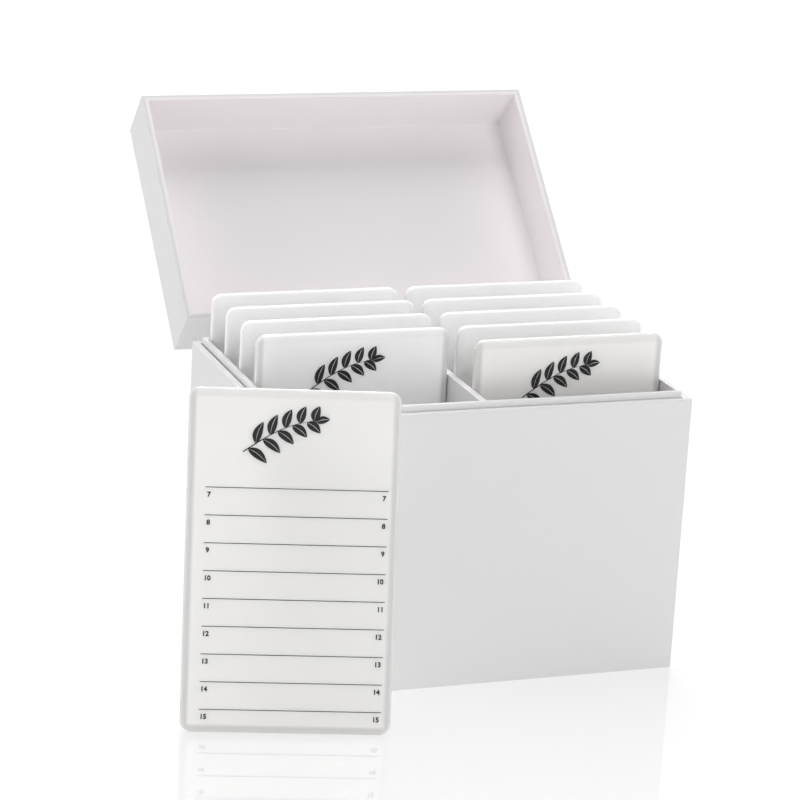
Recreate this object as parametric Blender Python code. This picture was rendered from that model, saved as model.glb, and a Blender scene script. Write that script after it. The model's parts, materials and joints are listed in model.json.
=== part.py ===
"""Flip-top storage box for lash tiles, modelled open, with one tile taken out.

An outer case of glued white sheet holds a thinner liner, whose edge stands a little above the
case so that the lid slips down round it. A divider makes two columns, and combs on both sides of
each column hold five lash tiles upright by their edges. The shallow tray lid turns on two butt
hinges behind the case.

Metres, +Z up, +X to the right, +Y to the back. The origin is on the floor, under the middle of
the case. Nine tiles stand in their slots, and the tenth is propped on the floor in front of the
case's left corner.
"""

import math

import bmesh
import bpy
from mathutils import Vector

for old in list(bpy.data.objects):
    bpy.data.objects.remove(old, do_unlink=True)

# Lash tile: a flat plate with rounded corners and rounded rims.
TILE_WIDTH = 0.0850
TILE_HEIGHT = 0.1390
TILE_THICKNESS = 0.0030
TILE_CORNER_RADIUS = 0.0045
TILE_RIM_RADIUS = 0.0008
TILE_CORNER_STEPS = 6
TILE_RIM_STEPS = 3
TILE_SIDE_CLEARANCE = 0.00035

# Slots, counted from the front of each column to its back. The last one is open to the liner.
SLOT_COUNT = 5
SLOT_PITCH = 0.02185
SLOT_CLEARANCE = 0.0003
FRONT_TOOTH_DEPTH = 0.0156
LAST_SLOT_DEPTH = 0.0050
COMB_SHEET = 0.0030
COMB_FOOT_HEIGHT = 0.0020
COMB_HEIGHT = 0.0970
COMB_LEAD_RADIUS = 0.0030
COMB_LEAD_STEPS = 4
DIVIDER_SHEET = 0.0030

# Outer case and liner.
CASE_SHEET = 0.0030
CASE_HEIGHT = 0.1213
LINER_SHEET = 0.0020
LINER_GAP = 0.0005
LINER_RISE = 0.0026

# Lid, opened until its hinge leaves meet their stops.
LID_SHEET = 0.0030
LID_HEIGHT = 0.0277
LID_OPEN_ANGLE = math.radians(136.8)

# Clearances: glued seams, loose seats, and the break on each cut edge of the sheet.
BOND = 0.0003
SEAT = 0.0003
EDGE_BREAK = 0.0003

# Butt hinge: two leaves, a barrel of three knuckles and a pin.
HINGE_WIDTH = 0.0300
HINGE_KNUCKLE_WIDTH = 0.0096
HINGE_LEAF_LENGTH = 0.0220
HINGE_LEAF_THICKNESS = 0.0023
HINGE_LEAF_CORNER = 0.0030
HINGE_BARREL_RADIUS = 0.0032
HINGE_AXIS_RISE = 0.0024
HINGE_CLEARANCE = 0.0003
HINGE_WEB_HEIGHT = 0.0030
HINGE_STOP_REACH = 0.0100
HINGE_STOP_NOSE = 0.0012
HINGE_STOP_FOOT = 0.0090
HINGE_INSET_SHARE = 0.22
HINGE_EDGE_BREAK = 0.0004
PIN_RADIUS = 0.00125
PIN_CLEARANCE = 0.0001
BARREL_STEPS = 32
CORNER_STEPS = 5

# Tile on the floor: turned and tilted, its top just clear of the closed lid's corner.
LOOSE_TURN = math.radians(-15.2)
LOOSE_TILT = math.radians(12.6)
LOOSE_SIDESTEP = 0.0087
LOOSE_CLEARANCE = 0.0004

CUT_OVERRUN = 0.0020

SMOOTH_BELOW = math.radians(40)

# Finishes: colour, roughness and metallic value.
WHITE_SHEET = ((0.86, 0.86, 0.87), 0.12, 0)
WHITE_LINER = ((0.84, 0.83, 0.84), 0.15, 0)
WHITE_TILE = ((0.80, 0.79, 0.77), 0.15, 0)
WHITE_HINGE = ((0.85, 0.85, 0.86), 0.2, 0)
STEEL = ((0.62, 0.62, 0.64), 0.3, 1)

column_width = TILE_WIDTH + 2 * TILE_SIDE_CLEARANCE
inner_width = 2 * column_width + DIVIDER_SHEET
inner_depth = FRONT_TOOTH_DEPTH + (SLOT_COUNT - 1) * SLOT_PITCH + LAST_SLOT_DEPTH
slot_width = TILE_THICKNESS + 2 * SLOT_CLEARANCE
liner_inset = CASE_SHEET + LINER_GAP
case_width = inner_width + 2 * (liner_inset + LINER_SHEET)
case_depth = inner_depth + 2 * (liner_inset + LINER_SHEET)
left, right = -case_width / 2, case_width / 2
front, back = -case_depth / 2, case_depth / 2
inner_left, inner_right = -inner_width / 2, inner_width / 2
divider_left, divider_right = -DIVIDER_SHEET / 2, DIVIDER_SHEET / 2
inner_front, inner_back = -inner_depth / 2, inner_depth / 2
liner_left, liner_right = inner_left - LINER_SHEET, inner_right + LINER_SHEET
liner_front, liner_back = inner_front - LINER_SHEET, inner_back + LINER_SHEET
liner_bottom = CASE_SHEET + SEAT
liner_top = CASE_HEIGHT + LINER_RISE
slot_floor = liner_bottom + COMB_FOOT_HEIGHT
comb_top = liner_bottom + COMB_HEIGHT
lid_rim = CASE_HEIGHT + SEAT
lid_top = lid_rim + LID_HEIGHT
leaf_outer = BOND + HINGE_LEAF_THICKNESS
axis_offset = leaf_outer + HINGE_CLEARANCE + HINGE_BARREL_RADIUS
axis_y = back + axis_offset
axis_z = CASE_HEIGHT + HINGE_AXIS_RISE


def material_of(name, finish):
    """A material for one piece, in the given finish."""
    colour, roughness, metallic = finish
    material = bpy.data.materials.new(name)
    material.use_nodes = True
    shader = material.node_tree.nodes["Principled BSDF"]
    shader.inputs["Base Color"].default_value = (*colour, 1)
    shader.inputs["Roughness"].default_value = roughness
    shader.inputs["Metallic"].default_value = metallic
    return material


def prism(outline, axis, start, end):
    """A mesh of one closed solid: a flat outline carried along X, Y or Z from start to end.

    The outline's two numbers are (y, z) for X, (x, z) for Y and (x, y) for Z.
    """
    place = {
        "X": lambda a, b: Vector((start, a, b)),
        "Y": lambda a, b: Vector((a, start, b)),
        "Z": lambda a, b: Vector((a, b, start)),
    }[axis]
    along = {"X": Vector((1, 0, 0)), "Y": Vector((0, 1, 0)), "Z": Vector((0, 0, 1))}[axis]
    work = bmesh.new()
    face = work.faces.new([work.verts.new(place(a, b)) for a, b in outline])
    grown = bmesh.ops.extrude_face_region(work, geom=[face])
    moved = [item for item in grown["geom"] if isinstance(item, bmesh.types.BMVert)]
    bmesh.ops.translate(work, verts=moved, vec=along * (end - start))
    bmesh.ops.recalc_face_normals(work, faces=work.faces)
    mesh = bpy.data.meshes.new("solid")
    work.to_mesh(mesh)
    work.free()
    return mesh


def rectangle(a0, a1, b0, b1):
    return [(a0, b0), (a1, b0), (a1, b1), (a0, b1)]


def rounded_rectangle(a0, a1, b0, b1, radius, steps):
    """The rectangle's outline with a quarter circle of this radius at each corner."""
    centres = [
        (a1 - radius, b0 + radius, -math.pi / 2),
        (a1 - radius, b1 - radius, 0),
        (a0 + radius, b1 - radius, math.pi / 2),
        (a0 + radius, b0 + radius, math.pi),
    ]
    points = []
    for ca, cb, begin in centres:
        for step in range(steps + 1):
            angle = begin + math.pi / 2 * step / steps
            points.append((ca + radius * math.cos(angle), cb + radius * math.sin(angle)))
    return points


def add(name, mesh, parent=None):
    """An object in the scene, placed from its parent where it has one."""
    obj = bpy.data.objects.new(name, mesh)
    obj.parent = parent
    bpy.context.scene.collection.objects.link(obj)
    return obj


def add_piece(name, mesh, finish, parent=None):
    """A piece of the box, in its finish."""
    mesh.name = name
    mesh.materials.append(material_of(name, finish))
    return add(name, mesh, parent)


def break_edges(obj, width, steps):
    bevel = obj.modifiers.new("edge_break", "BEVEL")
    bevel.width = width
    bevel.segments = steps
    bevel.limit_method = "ANGLE"
    bevel.angle_limit = SMOOTH_BELOW
    return obj


def settle(obj):
    """Keeps the shape that the modifiers make, shaded smooth between its sharp edges."""
    evaluated = obj.evaluated_get(bpy.context.evaluated_depsgraph_get())
    mesh = bpy.data.meshes.new_from_object(evaluated)
    obj.modifiers.clear()
    obj.data = mesh
    mesh.name = obj.name
    mesh.shade_smooth()
    mesh.set_sharp_from_angle(angle=SMOOTH_BELOW)


def panel(name, low, high, finish, parent=None):
    """A rectangular sheet between two corners, its cut edges lightly broken."""
    mesh = prism(rectangle(low[0], high[0], low[1], high[1]), "Z", low[2], high[2])
    return break_edges(add_piece(name, mesh, finish, parent), EDGE_BREAK, 1)


def helper(name, mesh, parent):
    """A shape that only joins or cuts others."""
    obj = add(name, mesh, parent)
    obj.hide_render = True
    obj.display_type = "WIRE"
    return obj


def combine(obj, other, operation):
    boolean = obj.modifiers.new(operation.lower(), "BOOLEAN")
    boolean.operation = operation
    boolean.solver = "EXACT"
    boolean.object = other


def circle(radius, steps):
    angles = [2 * math.pi * step / steps for step in range(steps)]
    return [(radius * math.cos(angle), radius * math.sin(angle)) for angle in angles]


# Outer case: full-width front and back, sides between them, and the base let in between all four.
panel("front_panel", (left, front, 0), (right, front + CASE_SHEET, CASE_HEIGHT), WHITE_SHEET)
panel("back_panel", (left, back - CASE_SHEET, 0), (right, back, CASE_HEIGHT), WHITE_SHEET)
side_front, side_back = front + CASE_SHEET + BOND, back - CASE_SHEET - BOND
panel("left_panel", (left, side_front, 0), (left + CASE_SHEET, side_back, CASE_HEIGHT), WHITE_SHEET)
panel(
    "right_panel",
    (right - CASE_SHEET, side_front, 0),
    (right, side_back, CASE_HEIGHT),
    WHITE_SHEET,
)
panel(
    "base_panel",
    (left + CASE_SHEET + BOND, side_front, 0),
    (right - CASE_SHEET - BOND, side_back, CASE_SHEET),
    WHITE_SHEET,
)

# Liner: a sleeve of four thin walls that stands on the base, and the divider across it.
panel(
    "liner_front",
    (liner_left, liner_front, liner_bottom),
    (liner_right, inner_front, liner_top),
    WHITE_LINER,
)
panel(
    "liner_back",
    (liner_left, inner_back, liner_bottom),
    (liner_right, liner_back, liner_top),
    WHITE_LINER,
)
panel(
    "liner_left",
    (liner_left, inner_front + BOND, liner_bottom),
    (inner_left, inner_back - BOND, liner_top),
    WHITE_LINER,
)
panel(
    "liner_right",
    (inner_right, inner_front + BOND, liner_bottom),
    (liner_right, inner_back - BOND, liner_top),
    WHITE_LINER,
)
panel(
    "centre_divider",
    (divider_left, inner_front + BOND, liner_bottom),
    (divider_right, inner_back - BOND, liner_top),
    WHITE_LINER,
)


def slot_front(number):
    """The front side of a slot, by its number from 1 at the front."""
    return inner_front + FRONT_TOOTH_DEPTH + (number - 1) * SLOT_PITCH


def lead_in(y, turn):
    """The round top corner of a tooth: turn is 1 at its back and -1 at its front."""
    points = []
    for step in range(COMB_LEAD_STEPS + 1):
        angle = math.pi / 2 * step / COMB_LEAD_STEPS
        points.append(
            (
                y - turn * COMB_LEAD_RADIUS * (1 - math.cos(angle)),
                comb_top - COMB_LEAD_RADIUS * (1 - math.sin(angle)),
            )
        )
    return points if turn > 0 else points[::-1]


def comb_outline():
    """The comb in (y, z): a low foot under the tiles' edges, and a tooth in front of each slot."""
    comb_front, comb_back = inner_front + BOND, inner_back - BOND
    points = [(comb_front, liner_bottom), (comb_back, liner_bottom), (comb_back, slot_floor)]
    for number in range(SLOT_COUNT, 0, -1):
        tooth_back = slot_front(number)
        points.append((tooth_back, slot_floor))
        points += lead_in(tooth_back, 1)
        if number > 1:
            tooth_front = slot_front(number - 1) + slot_width
            points += lead_in(tooth_front, -1)
            points.append((tooth_front, slot_floor))
    return points + lead_in(comb_front, -1)


def tile_mesh():
    """A tile with its origin in the middle of its lower edge, its printed face towards -Y."""
    outline = rounded_rectangle(
        -TILE_WIDTH / 2, TILE_WIDTH / 2, 0, TILE_HEIGHT, TILE_CORNER_RADIUS, TILE_CORNER_STEPS
    )
    mesh = prism(outline, "Y", -TILE_THICKNESS / 2, TILE_THICKNESS / 2)
    pattern = break_edges(add_piece("tile", mesh, WHITE_TILE), TILE_RIM_RADIUS, TILE_RIM_STEPS)
    settle(pattern)
    mesh = pattern.data
    bpy.data.objects.remove(pattern)
    return mesh


def column(side, column_left, column_right, comb_names, first_tile):
    """A comb against each side of the column, and its tiles from the first to the back."""
    comb_starts = (column_left + BOND, column_right - BOND - COMB_SHEET)
    for name, start in zip(comb_names, comb_starts):
        add_piece(name, prism(comb_outline(), "X", start, start + COMB_SHEET), WHITE_LINER)
    for number in range(first_tile, SLOT_COUNT + 1):
        stored = add(f"tile_{side}_{number}", shared_tile)
        stored.location = (
            (column_left + column_right) / 2,
            slot_front(number) + slot_width / 2,
            slot_floor + SEAT,
        )


shared_tile = tile_mesh()
column("left", inner_left, divider_left, ("comb_left_outer", "comb_left_inner"), 2)
column("right", divider_right, inner_right, ("comb_right_inner", "comb_right_outer"), 1)

# The tile on the floor. Its tilt brings the rounded rear rim of its lower edge down on the floor,
# and its top rear edge stands just in front of the corner that the closed lid comes down to.
loose_back = (
    TILE_HEIGHT * math.sin(LOOSE_TILT) + TILE_THICKNESS / 2 * math.cos(LOOSE_TILT) + LOOSE_CLEARANCE
)
along = Vector((math.cos(LOOSE_TURN), math.sin(LOOSE_TURN), 0))
behind = Vector((-math.sin(LOOSE_TURN), math.cos(LOOSE_TURN), 0))
rim_drop = TILE_RIM_RADIUS * (1 - math.cos(LOOSE_TILT))
loose_lift = rim_drop + (TILE_THICKNESS / 2 - TILE_RIM_RADIUS) * math.sin(LOOSE_TILT)
loose = add("tile_loose", shared_tile)
loose.location = Vector((left, front, loose_lift)) + along * LOOSE_SIDESTEP - behind * loose_back
loose.rotation_euler = (-LOOSE_TILT, 0, LOOSE_TURN)

# Lid: built closed and turned about the hinge axis, which runs along X behind the case.
lid_pivot = add("lid_pivot", None)
lid_pivot.location = (0, axis_y, axis_z)
lid_pivot.rotation_euler = (-LID_OPEN_ANGLE, 0, 0)


def lid_panel(name, low, high):
    pivot = (0, axis_y, axis_z)
    low = [value - centre for value, centre in zip(low, pivot)]
    high = [value - centre for value, centre in zip(high, pivot)]
    return panel(name, low, high, WHITE_SHEET, lid_pivot)


wall_top = lid_top - LID_SHEET - BOND
lid_panel("lid_top", (left, front, lid_top - LID_SHEET), (right, back, lid_top))
lid_panel("lid_front", (left, front, lid_rim), (right, front + LID_SHEET, wall_top))
lid_panel("lid_back", (left, back - LID_SHEET, lid_rim), (right, back, wall_top))
lid_side_front, lid_side_back = front + LID_SHEET + BOND, back - LID_SHEET - BOND
lid_panel("lid_left", (left, lid_side_front, lid_rim), (left + LID_SHEET, lid_side_back, wall_top))
lid_panel("lid_right", (right - LID_SHEET, lid_side_front, lid_rim), (right, lid_side_back, wall_top))

# Hinge outlines, in (y, z) from the pin's axis with the lid closed.
leaf_front = -(axis_offset - BOND)
leaf_back = -(HINGE_BARREL_RADIUS + HINGE_CLEARANCE)
case_leaf_top = -HINGE_AXIS_RISE - BOND
lid_leaf_bottom = lid_rim - axis_z + BOND
knuckle_half = HINGE_KNUCKLE_WIDTH / 2
hinge_half = HINGE_WIDTH / 2
leaf_middle = (leaf_front + leaf_back) / 2


def opened(reach, offset):
    """A point along the open lid leaf's rear face, this far from the axis and this far off it."""
    run = (math.sin(LID_OPEN_ANGLE), math.cos(LID_OPEN_ANGLE))
    off = (-math.cos(LID_OPEN_ANGLE), math.sin(LID_OPEN_ANGLE))
    return (reach * run[0] + offset * off[0], reach * run[1] + offset * off[1])


def leaf_outline(z_near, z_far):
    """A leaf in (x, z): square at the rims' line, with a round corner at each side of its free end."""
    outward = math.copysign(1, z_far - z_near)
    points = [(-hinge_half, z_near), (hinge_half, z_near)]
    for side, begin in ((1, 0), (-1, math.pi / 2)):
        for step in range(CORNER_STEPS + 1):
            angle = begin + math.pi / 2 * step / CORNER_STEPS
            across = side * (hinge_half - HINGE_LEAF_CORNER) + HINGE_LEAF_CORNER * math.cos(angle)
            drop = HINGE_LEAF_CORNER * (1 - math.sin(angle))
            points.append((across, z_far - outward * drop))
    return points


def knuckle_spans():
    """The barrel's three stretches along X: the case's in the middle and the lid's at the ends."""
    return {
        "case": [(-knuckle_half, knuckle_half)],
        "lid": [
            (-hinge_half, -knuckle_half - HINGE_CLEARANCE),
            (knuckle_half + HINGE_CLEARANCE, hinge_half),
        ],
    }


def case_web():
    """Gusset from the case leaf to its knuckle. Its sloping upper side stops the open lid leaf."""
    stop = HINGE_BARREL_RADIUS
    return [
        (leaf_middle, case_leaf_top - HINGE_STOP_FOOT - HINGE_STOP_REACH / 2),
        opened(HINGE_STOP_REACH, stop - HINGE_STOP_NOSE),
        opened(HINGE_STOP_REACH, stop),
        opened(0, stop),
        (0, 0),
        (leaf_middle, case_leaf_top),
    ]


def lid_web():
    """Short block from the lid leaf to its knuckle."""
    return [
        (leaf_middle, lid_leaf_bottom),
        (0, lid_leaf_bottom),
        (0, HINGE_WEB_HEIGHT),
        (leaf_middle, HINGE_WEB_HEIGHT + HINGE_LEAF_THICKNESS),
    ]


def hinge(side, centre_x):
    """One butt hinge: a leaf with its knuckles for the case and one for the lid, and the pin."""
    mount = add(f"hinge_{side}_mount", None)
    mount.location = (centre_x, axis_y, axis_z)
    turning = add(f"hinge_{side}_turning", None, lid_pivot)
    turning.location = (centre_x, 0, 0)
    spans = knuckle_spans()
    leaves = {
        "case": (mount, case_leaf_top, case_leaf_top - HINGE_LEAF_LENGTH, case_web()),
        "lid": (turning, lid_leaf_bottom, lid_leaf_bottom + HINGE_LEAF_LENGTH, lid_web()),
    }
    for owner, (parent, z_near, z_far, web) in leaves.items():
        name = f"hinge_{side}_{owner}_leaf"
        plate = prism(leaf_outline(z_near, z_far), "Y", leaf_front, leaf_back)
        leaf = break_edges(add_piece(name, plate, WHITE_HINGE, parent), HINGE_EDGE_BREAK, 1)
        shapes = []
        for count, (x0, x1) in enumerate(spans[owner]):
            barrel = prism(circle(HINGE_BARREL_RADIUS, BARREL_STEPS), "X", x0, x1)
            shapes.append(helper(f"{name}_web_{count}", prism(web, "X", x0, x1), parent))
            shapes.append(helper(f"{name}_barrel_{count}", barrel, parent))
        for shape in shapes:
            combine(leaf, shape, "UNION")
        bore_end = hinge_half + CUT_OVERRUN
        bore_outline = circle(PIN_RADIUS + PIN_CLEARANCE, BARREL_STEPS)
        bore = helper(f"{name}_bore", prism(bore_outline, "X", -bore_end, bore_end), parent)
        combine(leaf, bore, "DIFFERENCE")
        settle(leaf)
        for shape in (*shapes, bore):
            bpy.data.objects.remove(shape, do_unlink=True)
    pin_mesh = prism(circle(PIN_RADIUS, BARREL_STEPS), "X", -hinge_half, hinge_half)
    settle(add_piece(f"hinge_{side}_pin", pin_mesh, STEEL, mount))


hinge_reach = case_width / 2 - case_width * HINGE_INSET_SHARE
hinge("left", -hinge_reach)
hinge("right", hinge_reach)
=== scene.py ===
"""Looks of the flip-top box for lash tiles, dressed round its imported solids.

Lengths are metres, written as a number of millimetres times MM. Every shape is worked out from
the solids' own boxes, so it lies where they do. Section by section: shader sums, surface
makers, finishes, the case and liner, the lid, the tiles and their print, the hinges, and last
the floor, the lamps and the camera.
"""

import json
import math

import bmesh
import bpy
import numpy as np
from mathutils import Matrix, Vector


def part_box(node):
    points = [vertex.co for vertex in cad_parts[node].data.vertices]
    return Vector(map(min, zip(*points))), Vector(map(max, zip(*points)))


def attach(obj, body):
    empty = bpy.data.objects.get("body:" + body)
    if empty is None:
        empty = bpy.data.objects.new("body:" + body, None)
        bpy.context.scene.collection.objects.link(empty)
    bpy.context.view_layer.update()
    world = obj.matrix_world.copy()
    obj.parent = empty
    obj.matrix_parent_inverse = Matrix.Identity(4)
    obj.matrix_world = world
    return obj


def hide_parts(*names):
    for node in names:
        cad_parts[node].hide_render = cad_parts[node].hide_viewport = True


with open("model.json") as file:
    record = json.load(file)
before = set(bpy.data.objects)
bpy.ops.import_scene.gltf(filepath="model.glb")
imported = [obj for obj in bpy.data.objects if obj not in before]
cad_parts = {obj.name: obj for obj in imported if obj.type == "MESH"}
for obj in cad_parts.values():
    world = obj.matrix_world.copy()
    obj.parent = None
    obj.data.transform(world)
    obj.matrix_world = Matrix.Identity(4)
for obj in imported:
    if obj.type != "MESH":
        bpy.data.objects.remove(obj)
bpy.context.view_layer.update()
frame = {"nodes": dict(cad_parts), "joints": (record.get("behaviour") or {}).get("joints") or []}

MM = 0.001
TAU = 2 * math.pi

# Rims: the polished break on a sheet's cut edges, and how finely curves are divided.
SHEET_EDGE = 0.35 * MM
SHEET_CORNER = 0.5 * MM
LINER_EDGE = 0.30 * MM
COMB_EDGE = 0.2 * MM
PIN_EDGE = 0.3 * MM
GLUE_FILLET = 0.4 * MM
SEAM_WIDTH = 0.12 * MM
EDGE_STEPS = 4
CORNER_STEPS = 4
LEAST_CORNER_SHARE = 0.2
CAP_SHORT_SHARE = 0.25

# Meshes: what counts as one point, as one flat face, and as an edge to keep or to break.
MERGE_DISTANCE = 0.002 * MM
TEXT_MERGE_DISTANCE = 0.001 * MM
POINT_DECIMALS = 7
FLAT_ANGLE = math.radians(0.5)
SHARP_ANGLE = math.radians(35)
BREAK_ANGLE = math.radians(40)
BREAK_STEPS = 2

# Tile: rounded corners, a rim that rolls over, and the clear border round the white backing.
TILE_CORNER = 4.5 * MM
TILE_RIM = 0.8 * MM
TILE_CORNER_STEPS = 12
BORDER_DEPTH = 0.08 * MM
BORDER_SLOPE = 1.0 * MM
BORDER_SIDE = 2.8 * MM
BORDER_TOP = 4.6 * MM
BORDER_TOP_TINT = 0.6
BORDER_SOFT = 2.0 * MM

# Print on the tile, across from its middle and up from its foot.
INK_THICKNESS = 0.03 * MM
INK_SINK = 0.01 * MM
RULE_LEFT = -35.0 * MM
RULE_RIGHT = 38.4 * MM
RULE_WIDTH = 0.30 * MM
RULE_COUNT = 9
RULE_FIRST = 99.0 * MM
RULE_LAST = 9.25 * MM
RULE_HEIGHTS = np.linspace(RULE_FIRST, RULE_LAST, RULE_COUNT)
FIRST_NUMBER = 7
NUMBER_HEIGHT = 2.0 * MM
NUMBER_TYPE_SHARE = 0.72
NUMBER_DROP = 4.0 * MM
NUMBER_INSET = 0.8 * MM
NUMBER_BOLD = 0.10 * MM
NUMBER_CURVE_STEPS = 3

# Twig on the tile: angles in radians, shares of the twig's own box, length or width.
SPRIG_LEFT = -20.5 * MM
SPRIG_RIGHT = 8.5 * MM
SPRIG_LOW = 113.5 * MM
SPRIG_HIGH = 134.0 * MM
STEM_WIDTH = 0.55 * MM
STEM_STEPS = 17
STEM_RISE = 0.62
STEM_TAPER_START = 1.1
LEAF_COUNT = 10
LEAF_START = 0.7
LEAF_LEAN = 0.30
LEAF_SPREAD = 0.95
LEAF_LENGTH = 9.4 * MM
LEAF_WIDTH = 3.5 * MM
LEAF_LENGTH_FIRST = 1.05
LEAF_LENGTH_LOSS = 0.35
LEAF_FULLNESS = 0.8
LEAF_STEPS = 12
LEAF_BOW = 0.07
LEAF_PARTING = 0.26 * MM
TIP_LEAN = 0.2
TIP_LENGTH_SHARE = 0.6
TIP_WIDTH_SHARE = 0.8

# Cast sheet and milky plate. Cells are those of a noise, to the metre, here and further down.
PLASTIC_IOR = 1.49
FINE_NOISE = 0.6
CASE_WHITE = (0.79, 0.788, 0.79)
LINER_WHITE = (0.83, 0.82, 0.825)
# The lid's inside: a faint pink of the sheet's own, painted lighter and pinker still for the light
# that bounces about in the open lid. Its outside keeps a white near the case's.
LID_INNER_WHITE_AND_BOUNCE = (0.893, 0.858, 0.868)
LID_OUTER_WHITE = (0.77, 0.76, 0.762)
CASE_POLISH = 0.10
LINER_POLISH = 0.12
LID_POLISH = 0.12
SHEET_DRIFT = 0.008
SHEET_DRIFT_CELLS = 9
SHEET_SMEAR = 0.06
SHEET_SMEAR_CELLS = 42
SHEET_WAVE = 0.15 * MM
SHEET_WAVE_CELLS = 14
SHEET_WAVE_SHARE = 0.15
SHEET_SPECULAR = 0.3
GLUE_SHADE = 0.80
GLUE_DIP = 0.6
# Three copies of the milky plate, lighter or darker by where they stand: painted light on the rear
# tiles, painted shade on the front tiles and the one outside.
BACKLIT_PAINTED_PLATE = (0.925, 0.915, 0.92)
BACKLIT_PAINTED_BACKED = (0.975, 0.967, 0.97)
DIM_EDGE_PAINTED_PLATE = (0.70, 0.692, 0.692)
DIM_EDGE_PAINTED_BACKED = (0.975, 0.967, 0.965)
SHADOWED_PAINTED_PLATE = (0.65, 0.642, 0.632)
SHADOWED_PAINTED_BACKED = (0.85, 0.842, 0.828)
TILE_MILK_DEPTH = 5.0 * MM
TILE_MILK_SPREAD = (1, 1, 1)
TILE_CLOUD_TINT = 1.012
TILE_CLOUD_CELLS = 22
TILE_POLISH = 0.14
TILE_SMEAR = 0.08

# Ink, moulding and steel.
INK_BLACK = (0.008, 0.007, 0.008)
INK_WORN_BLACK = (0.02, 0.019, 0.02)
INK_POLISH = 0.45
INK_SMEAR = 0.2
INK_GRAIN_CELLS = 2600
INK_SPECULAR = 0.25
HINGE_WHITE = (0.80, 0.80, 0.805)
HINGE_DARKEST = 0.985
HINGE_LIGHTEST = 1.01
HINGE_DRIFT_CELLS = 60
HINGE_POLISH = 0.26
HINGE_SMEAR = 0.14
HINGE_GRAIN = 0.02 * MM
HINGE_GRAIN_CELLS = 2200
HINGE_GRAIN_SHARE = 0.25
STEEL_DARK = (0.50, 0.50, 0.51)
STEEL_BRIGHT = (0.66, 0.66, 0.67)
STEEL_POLISH = 0.22
STEEL_SMEAR = 0.2
STEEL_STREAK = 0.01 * MM
STEEL_STREAK_CELLS = 900
STEEL_STREAK_SHARE = 0.2
STEEL_DRAWN_OUT = (0.03, 1, 1)

# Floor and room: whites and glows as shares of plain white, distances in metres.
PLAIN_WHITE = (1, 1, 1)
FLOOR_HALF = 30.0
FLOOR_WHITE = 0.45
FLOOR_GLOW = 0.48
FLOOR_SEEN_WHITE = 0.27
FLOOR_LIFT_NEAR = 0.77
FLOOR_LIFT_FAR = 1.0
FLOOR_NEAR = 0.35
FLOOR_FAR = 0.80
FLOOR_GLOSS_SHARE = 0.6
FLOOR_MIRROR = 0.26
FLOOR_MIRROR_ROUGHNESS = 0.02
ROOM_WHITE = 1.0
ROOM_GLOW = 0.08

# Square lamps: place and side in metres, and power in watts. All are turned to the same point.
SOFTBOX_AIM = Vector((0, 0, 0.1))
SOFTBOXES = {
    "overhead": ((0, 0.55, 1.5), 1.0, 14.0),
    "rear": ((0.3, 1.4, 1.3), 1.0, 16.0),
    "front_high": ((0.2, -1.6, 1.1), 1.0, 10.2),
    "front_low": ((0.2, -1.5, 0.3), 0.6, 3.0),
    "left_side": ((-1.65, 0.05, 0.5), 1.0, 9.5),
    "right_side": ((1.6, -0.1, 0.5), 1.0, 5.0),
}

# Camera, in the box's own frame.
CAMERA_PLACE = (-455.7 * MM, -1181.8 * MM, 488.5 * MM)
CAMERA_YAW = math.radians(-20.38)
CAMERA_PITCH = math.radians(-16.77)
CAMERA_ROLL = math.radians(-3.13)
CAMERA_FOCAL_PIXELS = 3074
CAMERA_NEAREST = 0.05
CAMERA_FARTHEST = 200
PICTURE_PIXELS = 800
SENSOR_MM = 36


# Shader sums


class Value:
    """A node's output. Python's operators on one that is a number add Math nodes."""

    def __init__(self, graph, socket):
        self.graph = graph
        self.socket = socket

    def math_node(self, operation, *values):
        return self.graph.add("ShaderNodeMath", {"operation": operation}, *values)["Value"]

    def __add__(self, other):
        return self.math_node("ADD", self, other)

    def __radd__(self, other):
        return self.math_node("ADD", other, self)

    def __sub__(self, other):
        return self.math_node("SUBTRACT", self, other)

    def __rsub__(self, other):
        return self.math_node("SUBTRACT", other, self)

    def __mul__(self, other):
        return self.math_node("MULTIPLY", self, other)

    def __rmul__(self, other):
        return self.math_node("MULTIPLY", other, self)

    def __abs__(self):
        return self.math_node("ABSOLUTE", self)

    def largest(self, other):
        return self.math_node("MAXIMUM", self, other)

    def smallest(self, other):
        return self.math_node("MINIMUM", self, other)

    def ramp(self, start, end):
        """0 at start, 1 at end, with a smooth turn at both."""
        settings = {"interpolation_type": "SMOOTHSTEP", "clamp": True}
        values = {"Value": self, "From Min": start, "From Max": end, "To Min": 0, "To Max": 1}
        return self.graph.add("ShaderNodeMapRange", settings, **values)["Result"]


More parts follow.
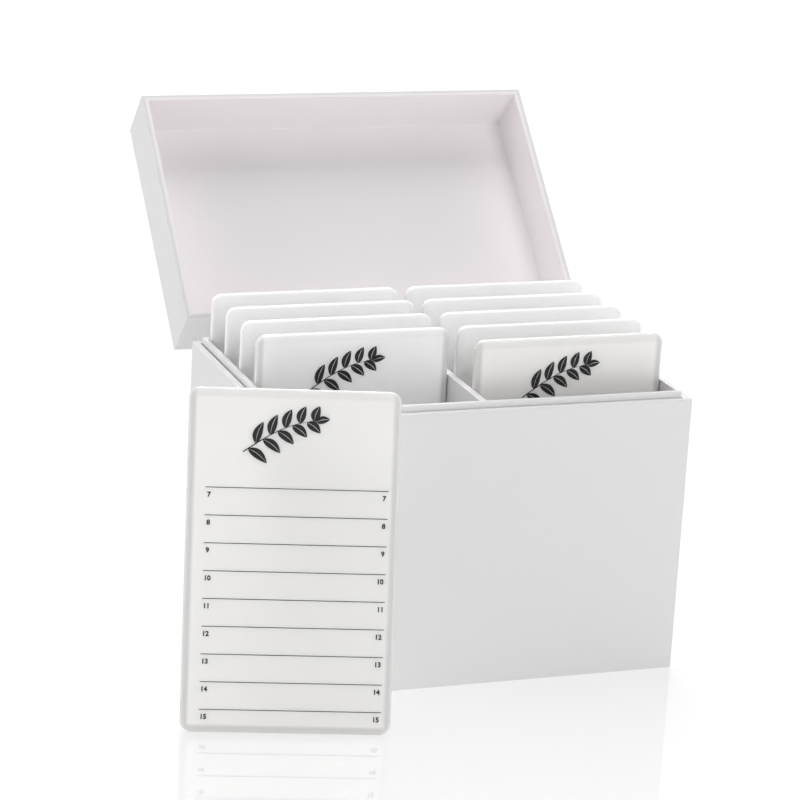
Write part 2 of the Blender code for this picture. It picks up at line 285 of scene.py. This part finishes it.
class Graph:
    """The node tree of a material or a world, cleared down to its output."""

    def __init__(self, owner, output="ShaderNodeOutputMaterial"):
        owner.use_nodes = True
        self.owner = owner
        self.tree = owner.node_tree
        self.tree.nodes.clear()
        self.output = self.tree.nodes.new(output)

    def add(self, kind, settings=None, *ordered, **named):
        """One node: its settings first, then its live sockets by order or by name. Returns its
        live outputs by name."""
        node = self.tree.nodes.new(kind)
        for key, value in (settings or {}).items():
            setattr(node, key, value)
        sockets = [socket for socket in node.inputs if socket.enabled]
        by_name = {socket.name: socket for socket in sockets}
        pairs = list(zip(sockets, ordered)) + [(by_name[key], named[key]) for key in named]
        for socket, value in pairs:
            self.feed(socket, value)
        return {out.name: Value(self, out) for out in node.outputs if out.enabled}

    def feed(self, socket, value):
        if isinstance(value, Value):
            self.tree.links.new(value.socket, socket)
        elif socket.type == "RGBA" and len(value) == 3:
            socket.default_value = (*value, 1)
        else:
            socket.default_value = value

    def split(self, vector):
        parts = self.add("ShaderNodeSeparateXYZ", None, vector)
        return parts["X"], parts["Y"], parts["Z"]

    def place(self):
        """The point's own coordinates in the box's frame."""
        return self.add("ShaderNodeTexCoord")["Object"]

    def rays(self):
        """1 on the rays seen straight or through clear pieces, and 1 on those of a gloss."""
        kinds = self.add("ShaderNodeLightPath")
        return kinds["Is Camera Ray"].largest(kinds["Is Transmission Ray"]), kinds["Is Glossy Ray"]

    def noise(self, vector, cells, detail=2, roughness=0.5, stretch=None):
        """Soft noise from 0 to 1, in cells to the metre, drawn out where stretch is under 1."""
        if stretch:
            settings = {"vector_type": "POINT"}
            vector = self.add("ShaderNodeMapping", settings, vector, Scale=stretch)["Vector"]
        values = {"Vector": vector, "Scale": cells, "Detail": detail, "Roughness": roughness}
        return self.add("ShaderNodeTexNoise", {"noise_dimensions": "3D"}, **values)["Fac"]

    def blend(self, factor, first, second):
        """The first colour where factor is 0, and the second where it is 1."""
        values = {"Factor": factor, "A": first, "B": second}
        return self.add("ShaderNodeMix", {"data_type": "RGBA"}, **values)["Result"]

    def bump(self, height, strength, distance):
        values = {"Height": height, "Strength": strength, "Distance": distance}
        return self.add("ShaderNodeBump", None, **values)["Normal"]

    def surface(self, shader):
        self.feed(self.output.inputs["Surface"], shader)
        return self.owner

    def plastic(self, **values):
        """Ends the tree in a Principled shader with these sockets set or linked."""
        return self.surface(self.add("ShaderNodeBsdfPrincipled", None, **values)["BSDF"])


def material_graph(name):
    return Graph(bpy.data.materials.new(name))


def tint(colour, factor):
    return tuple(channel * factor for channel in colour)


# Surface makers


def ring_stack(low, high, corner, profile, steps):
    """Rings up a solid whose plan is a rectangle with rounded corners, one for each (inset,
    height) of the profile. A ring's points are its corners' centres plus the corner radius times
    (cos a, sin a), with a running through a quarter turn at each corner in turn. Its sides are
    drawn in by the inset, and so is its radius, which keeps a least share of what it was."""
    inset, height = np.asarray(profile, float).T
    radius = np.maximum(corner - inset, corner * LEAST_CORNER_SHARE)
    left, front = low[0] + inset + radius, low[1] + inset + radius
    right, back = high[0] - inset - radius, high[1] - inset - radius
    across = np.stack([right, left, left, right], axis=1)
    along = np.stack([back, back, front, front], axis=1)
    centres = np.stack([across, along], axis=-1)
    angles = np.arange(4)[:, None] * TAU / 4 + np.linspace(0, TAU / 4, steps + 1)
    arc = np.stack([np.cos(angles), np.sin(angles)], axis=-1)
    plan = centres[:, :, None] + radius[:, None, None, None] * arc
    plan = plan.reshape(len(inset), -1, 2)
    heights = np.broadcast_to(height[:, None, None], plan.shape[:2] + (1,))
    return np.concatenate([plan, heights], axis=-1)


def skin(rings, looped):
    """Faces over a stack of rings with as many points each. Looped joins the last ring to the
    first, and otherwise a flat face closes each end."""
    count, around = rings.shape[:2]
    here = np.arange(around)
    beside = (here + 1) % around
    rows = np.arange(count if looped else count - 1)[:, None]
    above = (rows + 1) % count
    corners = [
        rows * around + here,
        rows * around + beside,
        above * around + beside,
        above * around + here,
    ]
    faces = np.stack(corners, axis=-1).reshape(-1, 4).tolist()
    if not looped:
        faces += [here[::-1].tolist(), (here + (count - 1) * around).tolist()]
    return rings.reshape(-1, 3), faces


def make_piece(name, points, faces, finish):
    """A closed mesh object at the origin, with its faces turned outwards."""
    mesh = bpy.data.meshes.new(name)
    mesh.from_pydata(points.tolist(), [], faces)
    work = bmesh.new()
    work.from_mesh(mesh)
    bmesh.ops.recalc_face_normals(work, faces=work.faces)
    work.to_mesh(mesh)
    work.free()
    return add_piece(name, mesh, finish)


def add_piece(name, mesh, finish):
    """Puts a mesh in the scene in its finish, shaded smooth between its sharp edges."""
    obj = bpy.data.objects.new(name, mesh)
    mesh.materials.clear()
    mesh.materials.append(finish)
    bpy.context.scene.collection.objects.link(obj)
    mesh.shade_smooth()
    mesh.set_sharp_from_angle(angle=SHARP_ANGLE)
    weighted = obj.modifiers.new("even_shading", "WEIGHTED_NORMAL")
    weighted.keep_sharp = True
    return obj


def dressed_copy(node, name, finish, edge):
    """A copy of a solid with its loose triangles joined, flat ones merged, and its edges broken."""
    mesh = frame["nodes"][node].data.copy()
    mesh.name = name
    work = bmesh.new()
    work.from_mesh(mesh)
    bmesh.ops.remove_doubles(work, verts=work.verts, dist=MERGE_DISTANCE)
    bmesh.ops.dissolve_limit(work, angle_limit=FLAT_ANGLE, verts=work.verts, edges=work.edges)
    work.to_mesh(mesh)
    work.free()
    obj = add_piece(name, mesh, finish)
    if edge:
        bevel = obj.modifiers.new("edge_break", "BEVEL")
        bevel.width = edge
        bevel.segments = BREAK_STEPS
        bevel.limit_method = "ANGLE"
        bevel.angle_limit = BREAK_ANGLE
        obj.modifiers.move(1, 0)
    return obj


def give_built(mesh, points):
    """Where each point was when the shape was worked out, before it was turned into place."""
    layer = mesh.attributes.new("built", "FLOAT_VECTOR", "POINT")
    layer.data.foreach_set("vector", points.astype(np.float32).ravel())


def settle(obj, body, slot, *nodes):
    """Rides the piece on its body and stands it for its nodes. Its slot is not used."""
    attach(obj, body)
    if nodes:
        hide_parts(*nodes)


def quarter(middle, radius, start, end):
    """Points on a quarter of a circle about middle, from the angle start to the angle end."""
    angles = np.linspace(start, end, EDGE_STEPS + 1)
    return np.stack([np.cos(angles), np.sin(angles)], axis=1) * radius + middle


def over_rim(wall, height, edge):
    """The rim of an upright wall, from its outer side over the top to its inner side: a quarter
    circle of the edge radius at each."""
    outer = quarter((edge, height - edge), edge, TAU / 2, TAU / 4)
    inner = quarter((wall - edge, height - edge), edge, TAU / 4, 0)
    return np.concatenate([outer, inner])


def tray(low, high, wall, floor, height, edge):
    """Rings of a tray: under the floor, out to its rounded foot, up the walls, over their rim, down
    inside to a fillet of glue, and in over the floor."""
    middle = min(high[0] - low[0], high[1] - low[1]) / 4
    foot = quarter((edge, edge), edge, TAU * 3 / 4, TAU / 2)
    glue = quarter((wall + GLUE_FILLET, floor + GLUE_FILLET), GLUE_FILLET, TAU / 2, TAU * 3 / 4)
    rim = over_rim(wall, height, edge)
    profile = np.concatenate([[(middle, 0)], foot, rim, glue, [(middle, floor)]])
    return ring_stack(low, high, SHEET_CORNER, profile, CORNER_STEPS)


def cap_inset(corner, edge):
    """How far in a flat cap's own ring lies: a share of the edge short of the corner's centre."""
    return corner - edge * CAP_SHORT_SHARE


def block(low, high, corner, edge, steps):
    """Rings of a plate or sheet, rounded over at its lower and upper rims."""
    middle = cap_inset(corner, edge)
    under = quarter((edge, low[2] + edge), edge, TAU * 3 / 4, TAU / 2)
    over = quarter((edge, high[2] - edge), edge, TAU / 2, TAU / 4)
    profile = np.concatenate([[(middle, low[2])], under, over, [(middle, high[2])]])
    return ring_stack(low, high, corner, profile, steps)


def node_points(node):
    """The points of a solid, one row each."""
    mesh = frame["nodes"][node].data
    flat = np.empty(len(mesh.vertices) * 3)
    mesh.vertices.foreach_get("co", flat)
    return flat.reshape(-1, 3)


def moved(points, matrix):
    """The points after a turn and a shift, as one array sum."""
    table = np.array(matrix)
    return points @ table[:3, :3].T + table[:3, 3]


def span(*nodes):
    """The lowest and highest corner of several nodes together."""
    lows, highs = zip(*(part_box(node) for node in nodes))
    return np.min(lows, axis=0), np.max(highs, axis=0)


# Finishes


def near(value, place, reach):
    """1 where value is at place, falling to 0 at the reach from it."""
    return 1 - abs(value - place).ramp(0, reach)


def shell_depths(graph, low, high):
    """How far in a point of a shell lies from its nearer side and from its nearer front or back,
    and its height, all as it was built."""
    built = graph.add("ShaderNodeAttribute", {"attribute_name": "built"})["Vector"]
    x, y, z = graph.split(built)
    side = (x - low[0]).smallest(high[0] - x)
    depth = (y - low[1]).smallest(high[1] - y)
    return side, depth, z


def glue_lines(graph, low, high, wall, cover):
    """1 on the glue lines of a shell's outside. Its front and back are full width, so a line runs
    up each side one sheet in from either; under a top that covers the walls one runs all round."""
    side, depth, z = shell_depths(graph, low, high)
    upright = near(depth, wall, SEAM_WIDTH) * (1 - side.ramp(wall / 2, wall))
    if cover is None:
        return upright
    upright = upright * (1 - (z - cover).ramp(0, SEAM_WIDTH))
    outside = 1 - side.smallest(depth).ramp(wall / 2, wall)
    return upright.largest(near(z, cover, SEAM_WIDTH) * outside)


def outer_side(graph, low, high, wall):
    """1 on a shell's outside and 0 on its inside, changing over in the thickness of its rim."""
    side, depth, z = shell_depths(graph, low, high)
    deepest = side.smallest(depth).smallest(high[2] - z)
    return 1 - deepest.ramp(wall / 3, wall * 2 / 3)


def drifting(graph, drift, colour):
    """A sheet's colour, a little darker where drift is 0 and a little lighter where it is 1."""
    return graph.blend(drift, tint(colour, 1 - SHEET_DRIFT), tint(colour, 1 + SHEET_DRIFT))


def sheet_finish(name, colour, polish, shell=None, outside=None):
    """White cast sheet: an even colour that drifts by under a hundredth, a polish that drifts too,
    a faint long wave in its flatness, and hairlines of glue where the sheets of a shell butt. A
    shell is given as its low and high corners, its wall, and its cover's underside or None where
    nothing covers the walls. Its outside may have a white of its own; the lid's inside is painted
    lighter and pinker than its outside, as painted bounce light."""
    graph = material_graph(name)
    place = graph.place()
    drift = graph.noise(place, SHEET_DRIFT_CELLS)
    smear = graph.noise(place, SHEET_SMEAR_CELLS, detail=3, roughness=FINE_NOISE)
    height = graph.noise(place, SHEET_WAVE_CELLS, detail=1)
    white = drifting(graph, drift, colour)
    if outside:
        low, high, wall, _ = shell
        outer = drifting(graph, drift, outside)
        # Painted light: on the lid the inside's white is lighter and pinker than the outside's, for
        # the bounce light in the open lid.
        white = graph.blend(outer_side(graph, low, high, wall), white, outer)
    if shell:
        glue = glue_lines(graph, *shell)
        white = graph.blend(glue, white, tint(colour, GLUE_SHADE))
        height = height - glue * GLUE_DIP
    return graph.plastic(
        **{
            "Base Color": white,
            "Roughness": polish + smear * SHEET_SMEAR,
            "Normal": graph.bump(height, SHEET_WAVE_SHARE, SHEET_WAVE),
            "IOR": PLASTIC_IOR,
            "Specular IOR Level": SHEET_SPECULAR,
        }
    )


def tile_finish(name, bare, backed, width, height):
    """Milky plate: darker where only the bare plate is, round the border, and lighter over the
    white backing. The backing ends in a soft step at a set distance from the plate's outline,
    further in at the top, where it is fainter too."""
    graph = material_graph(name)
    across, up, _ = graph.split(graph.add("ShaderNodeUVMap", {"uv_map": "plate"})["UV"])
    side = width / 2 - abs(across)
    head = height - up
    low, high = BORDER_SIDE - BORDER_SOFT / 2, BORDER_SIDE + BORDER_SOFT / 2
    top = BORDER_TOP_TINT + (1 - BORDER_TOP_TINT) * head.ramp(BORDER_TOP - BORDER_SOFT, BORDER_TOP)
    backing = side.ramp(low, high) * up.ramp(low, high) * top
    cloud = graph.noise(graph.place(), TILE_CLOUD_CELLS)
    border = graph.blend(cloud, bare, tint(bare, TILE_CLOUD_TINT))
    middle = graph.blend(cloud, backed, tint(backed, TILE_CLOUD_TINT))
    return graph.plastic(
        **{
            "Base Color": graph.blend(backing, border, middle),
            "Roughness": TILE_POLISH + cloud * TILE_SMEAR,
            "IOR": PLASTIC_IOR,
            "Subsurface Weight": 1.0,
            "Subsurface Radius": TILE_MILK_SPREAD,
            "Subsurface Scale": TILE_MILK_DEPTH,
        }
    )


def ink_finish():
    """Black screen print, a little uneven in tone and gloss."""
    graph = material_graph("black_print")
    grain = graph.noise(graph.place(), INK_GRAIN_CELLS)
    return graph.plastic(
        **{
            "Base Color": graph.blend(grain, INK_BLACK, INK_WORN_BLACK),
            "Roughness": INK_POLISH + grain * INK_SMEAR,
            "Specular IOR Level": INK_SPECULAR,
        }
    )


def hinge_finish():
    """Moulded white plastic with a fine spark-eroded grain."""
    graph = material_graph("white_moulding")
    place = graph.place()
    grain = graph.noise(place, HINGE_GRAIN_CELLS, roughness=FINE_NOISE)
    drift = graph.noise(place, HINGE_DRIFT_CELLS)
    darkest, lightest = tint(HINGE_WHITE, HINGE_DARKEST), tint(HINGE_WHITE, HINGE_LIGHTEST)
    return graph.plastic(
        **{
            "Base Color": graph.blend(drift, darkest, lightest),
            "Roughness": HINGE_POLISH + grain * HINGE_SMEAR,
            "Normal": graph.bump(grain, HINGE_GRAIN_SHARE, HINGE_GRAIN),
        }
    )


def pin_finish():
    """Drawn steel wire: fine streaks along its length."""
    graph = material_graph("drawn_steel")
    place = graph.place()
    streak = graph.noise(place, STEEL_STREAK_CELLS, 3, FINE_NOISE, STEEL_DRAWN_OUT)
    return graph.plastic(
        **{
            "Base Color": graph.blend(streak, STEEL_DARK, STEEL_BRIGHT),
            "Roughness": STEEL_POLISH + streak * STEEL_SMEAR,
            "Metallic": 1.0,
            "Normal": graph.bump(streak, STEEL_STREAK_SHARE, STEEL_STREAK),
        }
    )


# Case and liner: a five-sided shell, a sleeve inside it, and the divider across the sleeve.

case_nodes = ("front_panel", "back_panel", "left_panel", "right_panel", "base_panel")
case_low, case_high = span(*case_nodes)
front_low, front_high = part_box("front_panel")
base_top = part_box("base_panel")[1].z
case_sheet = front_high.y - front_low.y
case_sizes = (case_low, case_high, case_sheet, None)
case_white = sheet_finish("white_sheet", CASE_WHITE, CASE_POLISH, case_sizes)
liner_white = sheet_finish("liner_sheet", LINER_WHITE, LINER_POLISH)

rings = tray(case_low, case_high, case_sheet, base_top, case_high[2], SHEET_EDGE)
points, faces = skin(rings, False)
case_shell = make_piece("case_shell", points, faces, case_white)
give_built(case_shell.data, points)
settle(case_shell, "case", "sheet", *case_nodes)

liner_nodes = ("liner_front", "liner_back", "liner_left", "liner_right")
liner_low, liner_high = span(*liner_nodes)
liner_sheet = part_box("liner_front")[1].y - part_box("liner_front")[0].y
rim = over_rim(liner_sheet, liner_high[2], LINER_EDGE)
foot = over_rim(liner_sheet, -liner_low[2], LINER_EDGE)[::-1] * (1, -1)
profile = np.concatenate([rim, foot])
rings = ring_stack(liner_low, liner_high, SHEET_CORNER, profile, CORNER_STEPS)
liner_sleeve = make_piece("liner_sleeve", *skin(rings, True), liner_white)
settle(liner_sleeve, "case", "liner", *liner_nodes)

divider_low, divider_high = (np.array(corner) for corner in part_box("centre_divider"))
divider_low[1] = liner_low[1] + liner_sheet
divider_high[1] = liner_high[1] - liner_sheet
rings = block(divider_low, divider_high, SHEET_CORNER, LINER_EDGE, CORNER_STEPS)
divider = make_piece("divider_sheet", *skin(rings, False), liner_white)
settle(divider, "case", "liner", "centre_divider")

for node in ("comb_left_outer", "comb_left_inner", "comb_right_inner", "comb_right_outer"):
    comb = dressed_copy(node, f"{node}_sheet", liner_white, COMB_EDGE)
    settle(comb, "case", "liner", node)

# Lid: a tray made closed, then turned open about the hinge's axis, as its solids are.

lid_joint = next(joint for joint in frame["joints"] if joint["name"] == "lid_hinge")
lid_axis = Vector(lid_joint["axis"])
lid_pivot = Vector(lid_joint["pos_m"])
lid_turn = math.radians(max(lid_joint["range_deg"]) - min(lid_joint["range_deg"]))
opening = (
    Matrix.Translation(lid_pivot)
    @ Matrix.Rotation(lid_turn, 4, lid_axis)
    @ Matrix.Translation(-lid_pivot)
)


def closed_span(*nodes):
    """The corners of nodes of the lid, turned back to where they are when it is closed."""
    points = moved(np.concatenate([node_points(node) for node in nodes]), opening.inverted())
    return points.min(axis=0), points.max(axis=0)


lid_nodes = ("lid_top", "lid_front", "lid_back", "lid_left", "lid_right")
lid_low, lid_high = closed_span(*lid_nodes)
top_low, top_high = closed_span("lid_top")
lid_sheet = top_high[2] - top_low[2]
lid_sizes = (lid_low, lid_high, lid_sheet, top_low[2])
# Painted bounce light: the lid's inside is lighter and pinker than its outside.
lid_white = sheet_finish("lid_sheet", LID_INNER_WHITE_AND_BOUNCE, LID_POLISH, lid_sizes, LID_OUTER_WHITE)
rings = tray(lid_low, lid_high, lid_sheet, lid_sheet, lid_high[2] - lid_low[2], SHEET_EDGE)
rings[:, :, 2] = lid_high[2] - rings[:, :, 2]
points, faces = skin(rings, False)
lid_tray = make_piece("lid_tray", moved(points, opening), faces, lid_white)
give_built(lid_tray.data, points)
settle(lid_tray, "lid", "sheet", *lid_nodes)

# Tiles: each is worked out flat, across and up from the middle of its foot, and then placed.

tile_nodes = [name for name in frame["nodes"] if name.startswith("tile_")]
tile_low, tile_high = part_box("tile_right_1")
tile_width, tile_thickness, tile_height = tile_high - tile_low


def tile_frame(node):
    """A solid tile's own frame: its three directions are those in which its points spread most to
    least, turned so that it reads upright from the front; its origin is its foot's middle."""
    points = np.unique(np.round(node_points(node), POINT_DECIMALS), axis=0)
    middle = (points.min(axis=0) + points.max(axis=0)) / 2
    spread = np.linalg.eigh(np.cov((points - middle).T))[1]
    across, up = spread[:, 1], spread[:, 2]
    up = up * np.sign(up[2])
    across = across * np.sign(across[0])
    normal = np.cross(across, up)
    local = (points - middle) @ np.stack([across, up, normal], axis=1)
    centre = (local.min(axis=0) + local.max(axis=0)) / 2
    foot = middle + across * centre[0] + normal * centre[2] + up * (centre[1] - tile_height / 2)
    table = np.eye(4)
    table[:3] = np.stack([across, up, normal, foot], axis=1)
    return table


def plate():
    """The plate: a rounded outline, its rims rolled over, and round its front face a border that
    lies a little lower than the middle, up a short slope."""
    half = tile_thickness / 2
    edge = TILE_RIM
    lip = half - BORDER_DEPTH
    under = quarter((edge, edge - half), edge, TAU * 3 / 4, TAU / 2)
    over = quarter((edge, lip - edge), edge, TAU / 2, TAU / 4)
    slope = [(BORDER_SIDE - BORDER_SLOPE / 2, lip), (BORDER_SIDE + BORDER_SLOPE / 2, half)]
    middle = cap_inset(TILE_CORNER, edge)
    profile = np.concatenate([[(middle, -half)], under, over, slope, [(middle, half)]])
    low, high = (-tile_width / 2, 0), (tile_width / 2, tile_height)
    return skin(ring_stack(low, high, TILE_CORNER, profile, TILE_CORNER_STEPS), False)


def give_plate_map(mesh, points):
    """Each corner's place across and up its plate, in metres, as the map named plate."""
    layer = mesh.uv_layers.new(name="plate")
    corners = np.empty(len(mesh.loops), np.int32)
    mesh.loops.foreach_get("vertex_index", corners)
    layer.data.foreach_set("uv", points[corners, :2].astype(np.float32).ravel())


def inked(outline):
    """A flat outline as a thin solid of ink, standing a hair proud of the plate's front face."""
    base = tile_thickness / 2 - INK_SINK
    top = tile_thickness / 2 + INK_THICKNESS
    low = np.column_stack([outline, np.full(len(outline), base)])
    high = np.column_stack([outline, np.full(len(outline), top)])
    return skin(np.stack([low, high]), False)


def leaf(root, angle, length, width):
    """The two halves of a leaf, parted along its rib, which bows by half a sine. With t the share
    of the leaf's length and f its fullness, a half's outer edge stands off the rib by half the
    width times sin(pi t^f)^f, so it is fullest before its middle. The parting is 4 t (1 - t) of
    its own width, and no more than all of it, so it closes at both ends."""
    t = np.linspace(0, 1, LEAF_STEPS)
    swell = np.sin(math.pi * t**LEAF_FULLNESS) ** LEAF_FULLNESS
    rib = np.stack([t * length, LEAF_BOW * length * np.sin(math.pi * t)], axis=1)
    turn = np.array([[math.cos(angle), -math.sin(angle)], [math.sin(angle), math.cos(angle)]])
    halves = []
    for side in (1, -1):
        parting = side * LEAF_PARTING / 2 * np.minimum(1, 4 * t * (1 - t))
        inner = rib + np.stack([np.zeros_like(t), parting], axis=1)
        outer = rib + np.stack([np.zeros_like(t), parting + side * width / 2 * swell], axis=1)
        outline = np.concatenate([inner, outer[-2:0:-1]])
        halves.append(root + outline @ turn.T)
    return halves


def sprig():
    """A leafy twig: its stem rises on a quarter sine from left to right and thins towards the tip,
    and leaves stand on it to either side in turn, shorter towards the tip, with one at its end."""
    t = np.linspace(0, 1, STEM_STEPS)
    stem_x = SPRIG_LEFT + (SPRIG_RIGHT - SPRIG_LEFT) * t
    stem_y = SPRIG_LOW + (SPRIG_HIGH - SPRIG_LOW) * np.sin(t * TAU / 4) * STEM_RISE
    half = STEM_WIDTH / 2 * (STEM_TAPER_START - t)
    above = np.column_stack([stem_x, stem_y + half])
    below = np.column_stack([stem_x, stem_y - half])
    shapes = [np.concatenate([above, below[::-1]])]
    for place in range(LEAF_COUNT):
        share = (place + LEAF_START) / LEAF_COUNT
        root = np.array([np.interp(share, t, stem_x), np.interp(share, t, stem_y)])
        side = 1 if place % 2 else -1
        length = LEAF_LENGTH * (LEAF_LENGTH_FIRST - LEAF_LENGTH_LOSS * share)
        shapes += leaf(root, side * LEAF_SPREAD + LEAF_LEAN, length, LEAF_WIDTH)
    tip = np.array([stem_x[-1], stem_y[-1]])
    shapes += leaf(tip, TIP_LEAN, LEAF_LENGTH * TIP_LENGTH_SHARE, LEAF_WIDTH * TIP_WIDTH_SHARE)
    return shapes


def rule(height):
    """A ruled line across the plate, as a long thin rectangle."""
    low, high = height - RULE_WIDTH / 2, height + RULE_WIDTH / 2
    return np.array([(RULE_LEFT, low), (RULE_RIGHT, low), (RULE_RIGHT, high), (RULE_LEFT, high)])


def number_solid(number):
    """A number as a thin solid, its lower left corner at zero. Returns its points, faces, width."""
    curve = bpy.data.curves.new("number", "FONT")
    curve.body = str(number)
    curve.size = NUMBER_HEIGHT / NUMBER_TYPE_SHARE
    curve.offset = NUMBER_BOLD
    curve.resolution_u = NUMBER_CURVE_STEPS
    curve.extrude = (INK_THICKNESS + INK_SINK) / 2
    text = bpy.data.objects.new("number", curve)
    bpy.context.scene.collection.objects.link(text)
    shaped = text.evaluated_get(bpy.context.evaluated_depsgraph_get())
    mesh = bpy.data.meshes.new_from_object(shaped)
    bpy.data.objects.remove(text)
    work = bmesh.new()
    work.from_mesh(mesh)
    bmesh.ops.remove_doubles(work, verts=work.verts, dist=TEXT_MERGE_DISTANCE)
    points = np.array([vertex.co for vertex in work.verts])
    faces = [[vertex.index for vertex in face.verts] for face in work.faces]
    work.free()
    bpy.data.meshes.remove(mesh)
    points[:, :2] -= points[:, :2].min(axis=0)
    points[:, 2] += tile_thickness / 2 + (INK_THICKNESS - INK_SINK) / 2
    return points, faces, points[:, 0].max()


def print_solid():
    """All of a tile's print as one mesh: rules, a number under both ends of each, and the twig."""
    rules = [rule(height) for height in RULE_HEIGHTS]
    parts = [inked(shape) for shape in rules + sprig()]
    for place, height in enumerate(RULE_HEIGHTS):
        points, faces, width = number_solid(FIRST_NUMBER + place)
        for left in (RULE_LEFT + NUMBER_INSET, RULE_RIGHT - NUMBER_INSET - width):
            parts.append((points + (left, height - NUMBER_DROP, 0), faces))
    points, faces, start = [], [], 0
    for part_points, part_faces in parts:
        points.append(part_points)
        faces += [[index + start for index in face] for face in part_faces]
        start += len(part_points)
    return np.concatenate(points), faces


# Painted light and shade on one plate: the rear tiles are painted lighter at their border, as light
# from behind would leave them, the left front tile keeps a darker border, and the right front tile
# and the one outside are painted darker all over, for the shade they stand in.
tile_size = (tile_width, tile_height)
backlit_painted_milk = tile_finish("backlit_painted_milky_plate", BACKLIT_PAINTED_PLATE, BACKLIT_PAINTED_BACKED, *tile_size)
dim_edge_painted_milk = tile_finish("dim_edge_painted_milky_plate", DIM_EDGE_PAINTED_PLATE, DIM_EDGE_PAINTED_BACKED, *tile_size)
shadowed_painted_milk = tile_finish("shadowed_painted_milky_plate", SHADOWED_PAINTED_PLATE, SHADOWED_PAINTED_BACKED, *tile_size)
painted_light_milks = {"left_2": dim_edge_painted_milk, "right_1": shadowed_painted_milk, "loose": shadowed_painted_milk}
black_print = ink_finish()
plate_points, plate_faces = plate()
print_points, print_faces = print_solid()
for node in tile_nodes:
    body = node.removeprefix("tile_")
    matrix = tile_frame(node)
    milk = painted_light_milks.get(body, backlit_painted_milk)
    tile_plate = make_piece(f"{node}_plate", moved(plate_points, matrix), plate_faces, milk)
    give_plate_map(tile_plate.data, plate_points)
    settle(tile_plate, body, "tile", node)
    tile_print = make_piece(f"{node}_print", moved(print_points, matrix), print_faces, black_print)
    settle(tile_print, body, "tile")

# Hinges: a leaf on the case, a leaf on the lid and a pin each.

hinge_white = hinge_finish()
drawn_steel = pin_finish()
for side in ("left", "right"):
    for owner in ("case", "lid"):
        node = f"hinge_{side}_{owner}_leaf"
        hinge_leaf = dressed_copy(node, f"{node}_moulding", hinge_white, 0)
        settle(hinge_leaf, owner, "hinge", node)
    node = f"hinge_{side}_pin"
    pin = dressed_copy(node, f"{node}_wire", drawn_steel, PIN_EDGE)
    settle(pin, "case", "pin", node)


# Floor, lamps and camera


def pale_floor():
    """Matt white with a weak mirror in it. The box is lit by a matt floor with an even glow of its
    own. The camera sees a paler shadow: part of its white comes from light that falls on it, the
    rest is its own, and further off, where the lamps don't reach, all of it is. The box's gloss
    mirrors a duller floor than the camera sees."""
    graph = material_graph("studio_floor")
    direct, gloss = graph.rays()
    seen = direct.largest(gloss)
    share = direct.largest(gloss * FLOOR_GLOSS_SHARE)
    place = graph.place()
    distance = graph.add("ShaderNodeVectorMath", {"operation": "LENGTH"}, place)["Value"]
    far = distance.ramp(FLOOR_NEAR, FLOOR_FAR)
    lift = share * (FLOOR_LIFT_NEAR + far * (FLOOR_LIFT_FAR - FLOOR_LIFT_NEAR))
    lift = lift + (1 - seen) * FLOOR_GLOW
    white = graph.blend(seen, tint(PLAIN_WHITE, FLOOR_WHITE), tint(PLAIN_WHITE, FLOOR_SEEN_WHITE))
    matt = graph.add("ShaderNodeBsdfDiffuse", None, Color=white)["BSDF"]
    glow = graph.add("ShaderNodeEmission", None, Color=PLAIN_WHITE, Strength=lift)["Emission"]
    lit = graph.add("ShaderNodeAddShader", None, matt, glow)["Shader"]
    polish = {"Color": PLAIN_WHITE, "Roughness": FLOOR_MIRROR_ROUGHNESS}
    mirror = graph.add("ShaderNodeBsdfAnisotropic", None, **polish)["BSDF"]
    mixed = graph.add("ShaderNodeMixShader", None, FLOOR_MIRROR, lit, mirror)["Shader"]
    return graph.surface(mixed)


def floor():
    """One wide square at the box's foot."""
    mesh = bpy.data.meshes.new("floor")
    half = FLOOR_HALF
    corners = [(-half, -half, 0), (half, -half, 0), (half, half, 0), (-half, half, 0)]
    mesh.from_pydata(corners, [], [(0, 1, 2, 3)])
    obj = bpy.data.objects.new("floor", mesh)
    mesh.materials.append(pale_floor())
    bpy.context.scene.collection.objects.link(obj)


def studio():
    """An even white room: seen as plain white, and glowing more softly on the box."""
    graph = Graph(bpy.data.worlds.new("studio"), "ShaderNodeOutputWorld")
    direct, gloss = graph.rays()
    strength = ROOM_GLOW + direct.largest(gloss) * (ROOM_WHITE - ROOM_GLOW)
    room = graph.add("ShaderNodeBackground", None, Color=PLAIN_WHITE, Strength=strength)
    bpy.context.scene.world = graph.surface(room["Background"])


def softbox(name, place, size, power):
    """A square lamp, turned towards the box."""
    light = bpy.data.lights.new(name, "AREA")
    light.shape = "SQUARE"
    light.size = size
    light.energy = power
    obj = bpy.data.objects.new(name, light)
    obj.location = place
    towards = SOFTBOX_AIM - Vector(place)
    obj.rotation_euler = towards.to_track_quat("-Z", "Y").to_euler()
    bpy.context.scene.collection.objects.link(obj)


def camera():
    """Turned about the upright axis, tipped, then rolled about its own line of sight."""
    data = bpy.data.cameras.new("camera")
    data.sensor_width = SENSOR_MM
    data.lens = CAMERA_FOCAL_PIXELS * SENSOR_MM / PICTURE_PIXELS
    data.clip_start = CAMERA_NEAREST
    data.clip_end = CAMERA_FARTHEST
    obj = bpy.data.objects.new("camera", data)
    bpy.context.scene.collection.objects.link(obj)
    turned = (
        Matrix.Rotation(CAMERA_YAW, 3, "Z")
        @ Matrix.Rotation(CAMERA_PITCH, 3, "X")
        @ Matrix.Rotation(CAMERA_ROLL, 3, "Y")
    )
    right, forward, up = turned.col
    table = np.eye(4)
    table[:3] = np.stack([right, up, -forward, CAMERA_PLACE], axis=1)
    obj.matrix_world = Matrix(table)
    bpy.context.scene.camera = obj


floor()
studio()
for name, (place, size, power) in SOFTBOXES.items():
    softbox(name, place, size, power)
camera()
bpy.context.scene.view_settings.view_transform = "Standard"
